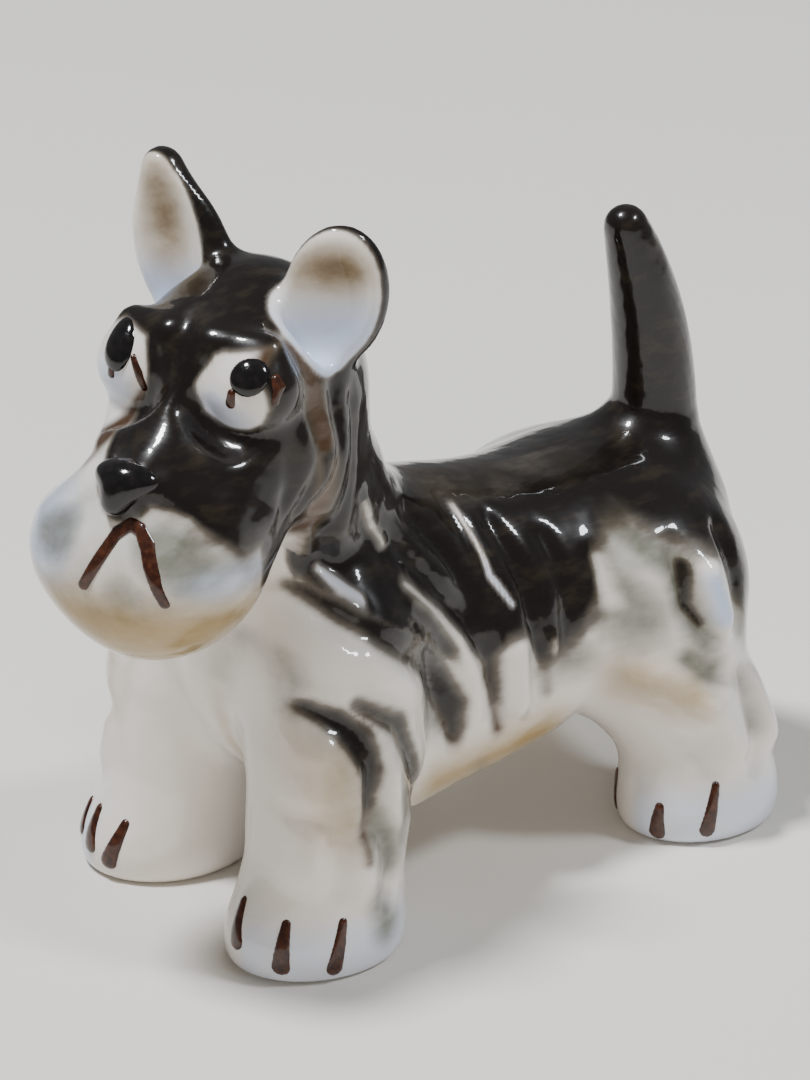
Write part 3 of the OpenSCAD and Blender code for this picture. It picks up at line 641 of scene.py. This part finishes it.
def tinted(below, amount, colour):
    made = node("ShaderNodeMix", data_type="RGBA")
    links.new(amount, made.inputs["Factor"])
    if isinstance(below, tuple):
        made.inputs["A"].default_value = below
    else:
        links.new(below, made.inputs["A"])
    made.inputs["B"].default_value = colour
    return made.outputs["Result"]


place_node = node("ShaderNodeTexCoord")
comb = node("ShaderNodeMapping")                # brush hairs run down and backwards
comb.inputs["Rotation"].default_value = (math.radians(-54), 0, 0)
comb.inputs["Scale"].default_value = (900, 330, 1000)
links.new(place_node.outputs["Object"], comb.inputs["Vector"])
hairs = node("ShaderNodeTexNoise")
hairs.inputs["Scale"].default_value = 1.0
hairs.inputs["Detail"].default_value = 4.0
hairs.inputs["Roughness"].default_value = 0.6
links.new(comb.outputs["Vector"], hairs.inputs["Vector"])
pools = node("ShaderNodeTexNoise")
pools.inputs["Scale"].default_value = 420
pools.inputs["Detail"].default_value = 3.0
links.new(place_node.outputs["Object"], pools.inputs["Vector"])
uneven = sum_of("ADD", sum_of("MULTIPLY", sum_of("SUBTRACT", hairs.outputs["Fac"], 0.5), 0.9),
                sum_of("MULTIPLY", sum_of("SUBTRACT", pools.outputs["Fac"], 0.5), 0.7))


def brushed(name, strength):
    """The painted amount, with the unevenness of the brush where it is thin."""
    amount = node("ShaderNodeAttribute", attribute_name=name).outputs["Fac"]
    left = sum_of("SUBTRACT", 1.25, amount)
    thin = sum_of("MULTIPLY", sum_of("MULTIPLY", amount, left), 4 * strength)
    return sum_of("ADD", amount, sum_of("MULTIPLY", uneven, thin), True)


dark = brushed("black", 0.3)
body = tinted((0.76, 0.72, 0.67, 1), brushed("sky", 0.25), (0.50, 0.60, 0.80, 1))
body = tinted(body, brushed("ochre_and_warm_reflection", 0.25), (0.36, 0.24, 0.08, 1))
body = tinted(body, brushed("moss_and_shade", 0.35), (0.13, 0.135, 0.105, 1))
body = tinted(body, soft_step(brushed("umber", 0.28), 0.05, 0.95), (0.055, 0.026, 0.010, 1))
body = tinted(body, sum_of("MULTIPLY", soft_step(dark, 0.04, 0.5), 0.85), (0.066, 0.050, 0.032, 1))
body = tinted(body, soft_step(dark, 0.26, 0.95), (0.007, 0.005, 0.004, 1))
streak = sum_of("MULTIPLY", soft_step(hairs.outputs["Fac"], 0.48, 0.72), soft_step(dark, 0.4, 1.0))
body = tinted(body, sum_of("MULTIPLY", streak, 0.18), (0.085, 0.062, 0.036, 1))
links.new(body, shader.inputs["Base Color"])
ripple = node("ShaderNodeTexNoise")
ripple.inputs["Scale"].default_value = 330
ripple.inputs["Detail"].default_value = 2.0
links.new(place_node.outputs["Object"], ripple.inputs["Vector"])
bump = node("ShaderNodeBump")
bump.inputs["Strength"].default_value = 0.35
bump.inputs["Distance"].default_value = 0.0004
links.new(ripple.outputs["Fac"], bump.inputs["Height"])
links.new(bump.outputs["Normal"], shader.inputs["Normal"])
links.new(bump.outputs["Normal"], shader.inputs["Coat Normal"])

clay_pieces = {}
paint_names = ("black", "umber", "moss_and_shade", "sky", "ochre_and_warm_reflection")
paints = (black, umber, moss_and_shade, sky, ochre_and_warm_reflection)
for k, name in enumerate(piece_names):
    mine = tris[owner == k]
    used, flat = np.unique(mine, return_inverse=True)
    local = flat.reshape(-1, 3)
    edges = np.concatenate([local[:, [0, 1]], local[:, [1, 2]], local[:, [2, 0]]])
    key = {(a, b) for a, b in edges.tolist()}
    rim = [(a, b) for a, b in key if (b, a) not in key]
    follow = {}
    for a, b in sorted(rim):
        follow.setdefault(a, []).append(b)
    place, outward = points[used], normals[used]
    caps, centres, centre_normals, centre_paint = [], [], [], []
    while follow:
        start = min(follow)
        loop, at = [start], follow[start].pop()
        if not follow[start]:
            del follow[start]
        while at != start:
            loop.append(at)
            nxt = follow[at].pop()
            if not follow[at]:
                del follow[at]
            at = nxt
        middle = len(used) + len(centres)
        centres.append(place[loop].mean(0))
        centre_normals.append(outward[loop].mean(0))
        centre_paint.append([paint[used[loop]].mean() for paint in paints])
        caps += [(b, a, middle) for a, b in zip(loop, loop[1:] + loop[:1])]
    if centres:
        place = np.concatenate([place, centres])
        outward = np.concatenate([outward, centre_normals])
        local = np.concatenate([local, np.array(caps)])
    mesh = bpy.data.meshes.new(name)
    mesh.from_pydata((place * 0.001).tolist(), [], local.tolist())
    mesh.polygons.foreach_set("use_smooth", np.ones(len(mesh.polygons), bool))
    outward /= np.maximum(np.linalg.norm(outward, axis=1, keepdims=True), 1e-9)
    mesh.normals_split_custom_set_from_vertices(outward.tolist())
    amounts = np.stack([paint[used] for paint in paints], 1)
    if centres:
        amounts = np.concatenate([amounts, centre_paint])
    for paint_name, amount in zip(paint_names, amounts.T):
        layer = mesh.attributes.new(paint_name, "FLOAT", "POINT")
        layer.data.foreach_set("value", amount.astype(np.float32))
    mesh.materials.append(glaze)
    piece = bpy.data.objects.new("glazed_" + name, mesh)
    bpy.context.collection.objects.link(piece)
    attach(piece, "root")
    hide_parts(name)
    clay_pieces[name] = piece

# ---------------------------------------------------------------------------------------
# Nose: a bead of black enamel on the end of the bridge, three-cornered with its point down.

def enamel_colour(name, base, thin, rough):
    made = bpy.data.materials.new(name)
    made.use_nodes = True
    tree = made.node_tree
    look = tree.nodes["Principled BSDF"]
    look.inputs["Roughness"].default_value = rough
    look.inputs["Coat Weight"].default_value = 1.0
    look.inputs["Coat Roughness"].default_value = 0.04
    look.inputs["Coat IOR"].default_value = 1.42
    look.inputs["Specular IOR Level"].default_value = 0.2
    spot = tree.nodes.new("ShaderNodeTexCoord")
    cloud = tree.nodes.new("ShaderNodeTexNoise")
    cloud.inputs["Scale"].default_value = 2600
    cloud.inputs["Detail"].default_value = 3.0
    ramp = tree.nodes.new("ShaderNodeValToRGB")
    ramp.color_ramp.elements[0].position, ramp.color_ramp.elements[0].color = 0.42, base
    ramp.color_ramp.elements[1].position, ramp.color_ramp.elements[1].color = 0.78, thin
    bumps = tree.nodes.new("ShaderNodeBump")
    bumps.inputs["Strength"].default_value = 0.3
    bumps.inputs["Distance"].default_value = 0.00008
    tree.links.new(spot.outputs["Object"], cloud.inputs["Vector"])
    tree.links.new(cloud.outputs["Fac"], ramp.inputs["Fac"])
    tree.links.new(cloud.outputs["Fac"], bumps.inputs["Height"])
    tree.links.new(ramp.outputs["Color"], look.inputs["Base Color"])
    tree.links.new(bumps.outputs["Normal"], look.inputs["Normal"])
    return made


BLACK_ENAMEL = enamel_colour("black_enamel", (0.004, 0.0035, 0.004, 1),
                             (0.012, 0.009, 0.008, 1), 0.15)
BROWN_ENAMEL = enamel_colour("brown_enamel", (0.026, 0.007, 0.003, 1),
                             (0.08, 0.025, 0.010, 1), 0.3)


def bead(field_of, low, high, pitch, name, cad_node, colour):
    """Meshes the solid where field_of(places) < 0 in a box, and puts it on the dog."""
    steps = [np.arange(a, b, pitch) for a, b in zip(low, high)]
    grid = np.stack(np.meshgrid(*steps, indexing="ij"), -1)
    field = field_of(grid.reshape(-1, 3)).reshape(grid.shape[:3])
    for axis in range(3):
        ends = [slice(None)] * 3
        for end in (0, -1):
            ends[axis] = end
            field[tuple(ends)] = np.maximum(field[tuple(ends)], 0.01)
    spots, faces = skin_of(field, np.array(low, float), pitch)
    mesh = bpy.data.meshes.new(name)
    mesh.from_pydata((spots * 0.001).tolist(), [], faces.tolist())
    mesh.polygons.foreach_set("use_smooth", np.ones(len(faces), bool))
    mesh.materials.append(colour)
    piece = bpy.data.objects.new(name, mesh)
    bpy.context.collection.objects.link(piece)
    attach(piece, "root")
    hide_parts(cad_node)


def blended(forms_here, blend):
    def field(p):
        total = forms_here[0](p)
        for form in forms_here[1:]:
            other = form(p)
            h = np.clip(0.5 + 0.5 * (total - other) / blend, 0, 1)
            total = total + (other - total) * h - blend * h * (1 - h)
        return total
    return field


nose_at = np.array(on_head(-0.5, -11.8, -1.3))
nose_forms = [egg(on_head(-0.5, -11.3, -1.2), (2.0, 1.2, 1.0), HEAD_TURN),
              egg(on_head(-0.5, -11.6, -1.7), (1.3, 1.25, 1.1), HEAD_TURN),
              egg(on_head(-0.8, -12.1, -2.4), (0.7, 0.85, 0.8), HEAD_TURN)]
bead(blended(nose_forms, 0.7), nose_at - 3.4, nose_at + 3.4, 0.09, "enamel_nose", "nose",
     BLACK_ENAMEL)

# ---------------------------------------------------------------------------------------
# Eyes: black enamel pupils set high in the white, looking up, each a low glossy dome.

def clay_at(p):
    """The clay volume's value at places between its samples."""
    t = (p - CLAY_LOW) / PITCH
    cell = np.clip(np.floor(t).astype(int), 0, np.array(clay.shape) - 2)
    f = t - cell
    total = 0.0
    for i in (0, 1):
        for j in (0, 1):
            for k in (0, 1):
                weight = ((f[:, 0] if i else 1 - f[:, 0]) * (f[:, 1] if j else 1 - f[:, 1])
                          * (f[:, 2] if k else 1 - f[:, 2]))
                total = total + weight * clay[cell[:, 0] + i, cell[:, 1] + j, cell[:, 2] + k]
    return total


def coat_over(across, rise):
    """A raised film on the clay: across is 0 at its middle and 1 at its edge."""
    def field(p):
        r = across(p)
        swell = rise * np.sqrt(np.clip(1 - r * r, 0, 1))
        skin = clay_at(p)
        return np.maximum(np.maximum(skin - swell, -skin - 0.25), (r - 1) * 0.3)
    return field


FACE_DEPTH = -4.4                   # films are laid only on clay further forward than this


def across_face(shapes):
    """Distance across ovals (place, half sizes, slant) or strokes on the face; 1 at the edge."""
    def across(p):
        hx, hy, hz = head_frame(p)
        best = np.full(len(p), 9.0)
        for shape in shapes:
            if len(shape) == 3:
                (u, v), (a, b), turn = shape
                c = math.radians(turn)
                s, t = (hx - u), (hz - v)
                best = np.minimum(best, np.hypot((s * math.cos(c) + t * math.sin(c)) / a,
                                                 (t * math.cos(c) - s * math.sin(c)) / b))
            else:
                for (a, b, ra), (c, d, rb) in zip(shape[0], shape[0][1:]):
                    length = (c - a) ** 2 + (d - b) ** 2
                    t = np.clip(((hx - a) * (c - a) + (hz - b) * (d - b)) / length, 0, 1)
                    gap = np.hypot(hx - a - t * (c - a), hz - b - t * (d - b))
                    best = np.minimum(best, gap / (ra + t * (rb - ra)))
        return np.where(hy > FACE_DEPTH, 9.0, best)
    return across


PUPILS = {"pupil_left": ((4.25, 3.85), (1.05, 0.9), -20),
          "pupil_right": ((-4.0, 4.0), (0.95, 1.3), 0)}
for cad_node, (at, half, turn) in PUPILS.items():
    low = np.array(on_head(at[0], -6.4, at[1]))
    bead(coat_over(across_face([(at, half, turn)]), 0.28), low - 2.2, low + 2.2, 0.07,
         "enamel_" + cad_node, cad_node, BLACK_ENAMEL)

# ---------------------------------------------------------------------------------------
# Eye lines: short brown enamel strokes, a fold beside each pupil and a drop under it.

EYE_LINES = {
    "eye_line_left": [([(5.45, 3.9, 0.12), (5.75, 3.3, 0.18), (5.7, 2.5, 0.12)],),
                      ([(3.5, 3.0, 0.25), (3.45, 2.4, 0.3)],)],
    "eye_line_right": [([(-2.9, 3.7, 0.15), (-2.5, 2.9, 0.22), (-2.2, 2.0, 0.18)],),
                       ([(-4.2, 2.9, 0.22), (-4.2, 2.5, 0.25)],)]}
for cad_node, lines in EYE_LINES.items():
    low = np.array(on_head(4.2 if "left" in cad_node else -3.4, -6.2, 3.2))
    bead(coat_over(across_face(lines), 0.14), low - 3.0, low + 3.0, 0.07,
         "enamel_" + cad_node, cad_node, BROWN_ENAMEL)

# ---------------------------------------------------------------------------------------
# Mouth: one brown enamel stroke, an upturned V from under the nose down both whisker lobes.

mouth = [([(-1.9, -6.9, 0.32), (-1.1, -5.3, 0.37), (-0.4, -3.9, 0.37), (0.3, -3.35, 0.34),
           (1.0, -3.45, 0.36), (1.7, -4.2, 0.37), (2.4, -5.6, 0.36), (3.0, -7.1, 0.28)],)]
low = np.array(on_head(0.5, -13.0, -5.2))
bead(coat_over(across_face(mouth), 0.16), low - 3.4, low + 3.4, 0.08, "enamel_mouth", "mouth_line",
     BROWN_ENAMEL)

# ---------------------------------------------------------------------------------------
# Claws: three brown enamel strokes on each foot, wet-brushed from the toes to the sole.

CLAWS = {      # foot centre, then for each claw its heading at the top and the sole, and heights
    "claws_fore_left": ((8.2, -11.0), [(-9, 4.0, -2, 2.0), (32, 3.6, 31, 1.2), (74, 3.6, 66, 1.0)]),
    "claws_fore_right": ((-6.5, -10.5),
                         [(-26, 3.6, -22, 2.2), (-7, 3.8, -4, 1.8), (21, 3.6, 13, 1.3)]),
    "claws_hind_left": ((8.9, 16.8),
                        [(-34, 2.8, -30, 1.0), (22, 2.4, 21, 0.8), (64, 3.7, 57, 1.1)]),
    "claws_hind_right": ((-8.9, 16.8),
                         [(34, 2.8, 30, 1.0), (-22, 2.4, -21, 0.8), (-64, 3.7, -57, 1.1)])}
ARC = 4.8                           # millimetres of foot edge to a radian of heading


def across_claws(centre, claws):
    def across(p):
        ahead, aside = centre[1] - p[:, 1], p[:, 0] - centre[0]
        run = np.arctan2(aside, ahead) * ARC
        best = np.full(len(p), 9.0)
        for top, z_top, sole, z_sole in claws:
            a, c = math.radians(top) * ARC, math.radians(sole) * ARC
            t = np.clip(((run - a) * (c - a) + (p[:, 2] - z_top) * (z_sole - z_top))
                        / ((c - a) ** 2 + (z_sole - z_top) ** 2), 0, 1)
            gap = np.hypot(run - a - t * (c - a), p[:, 2] - z_top - t * (z_sole - z_top))
            best = np.minimum(best, gap / (0.3 + 0.22 * t))
        return np.where(np.hypot(ahead, aside) < 3.0, 9.0, best)
    return across


for cad_node, (centre, claws) in CLAWS.items():
    bead(coat_over(across_claws(centre, claws), 0.13), (centre[0] - 6.2, centre[1] - 6.8, 0.2),
         (centre[0] + 6.2, centre[1] + 2.0, 5.0), 0.1, "enamel_" + cad_node, cad_node,
         BROWN_ENAMEL)
